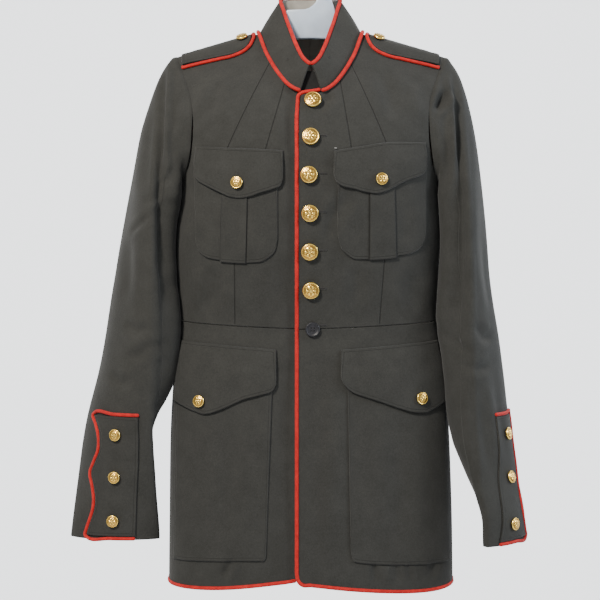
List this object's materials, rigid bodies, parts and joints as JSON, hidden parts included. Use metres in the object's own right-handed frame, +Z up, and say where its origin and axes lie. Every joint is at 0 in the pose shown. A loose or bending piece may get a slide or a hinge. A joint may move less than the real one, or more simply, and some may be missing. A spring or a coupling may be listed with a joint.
{
  "type": "dress jacket on a hanger",
  "caption": "Long-sleeved dark uniform jacket with a standing collar, piped edges, flapped pockets and scalloped cuff slashes, hung on a plain hanger.",
  "frame": {"origin": "the inner top of the hanger's hook, where it rests on a rail", "axes": "+Z up, the front of the jacket faces -Y, +X towards the wearer's left side"},
  "size_m": [0.6701, 0.1986, 0.926],
  "materials": {
    "cloth": "dense matt wool twill, near black",
    "piping": "bright red cord piping",
    "button_metal": "gilt, softly polished",
    "dark_button": "black, smooth",
    "hanger_plastic": "pale bluish, slightly translucent"
  },
  "bodies": {
    "root": {"front_skirt_left": "cloth", "front_skirt_right": "cloth", "front_upper_left": "cloth", "front_upper_right": "cloth", "back_left": "cloth", "back_right": "cloth", "top_sleeve_left": "cloth", "under_sleeve_left": "cloth", "top_sleeve_right": "cloth", "under_sleeve_right": "cloth", "collar": "cloth", "collar_tab": "cloth", "chest_pocket_right": "cloth", "chest_pocket_left": "cloth", "chest_flap_right": "cloth", "chest_flap_left": "cloth", "skirt_pocket_right": "cloth", "skirt_pocket_left": "cloth", "skirt_flap_right": "cloth", "skirt_flap_left": "cloth", "shoulder_strap_left": "cloth", "piping_strap_left": "piping", "shoulder_strap_right": "cloth", "piping_strap_right": "piping", "cuff_slash_left": "cloth", "piping_cuff_left": "piping", "cuff_slash_right": "cloth", "piping_cuff_right": "piping", "piping_front": "piping", "piping_hem_right": "piping", "piping_hem_back": "piping", "piping_collar_top": "piping", "piping_collar_seam": "piping", "button_front_1": "button_metal", "button_front_2": "button_metal", "button_front_3": "button_metal", "button_front_4": "button_metal", "button_front_5": "button_metal", "button_front_6": "button_metal", "button_waist": "dark_button", "button_chest_right": "button_metal", "button_chest_left": "button_metal", "button_skirt_right": "button_metal", "button_skirt_left": "button_metal", "button_strap_left": "button_metal", "button_cuff_left_1": "button_metal", "button_cuff_left_2": "button_metal", "button_cuff_left_3": "button_metal", "button_strap_right": "button_metal", "button_cuff_right_1": "button_metal", "button_cuff_right_2": "button_metal", "button_cuff_right_3": "button_metal", "hanger_body": "hanger_plastic", "hanger_hook": "hanger_plastic"}
  },
  "joints": []
}
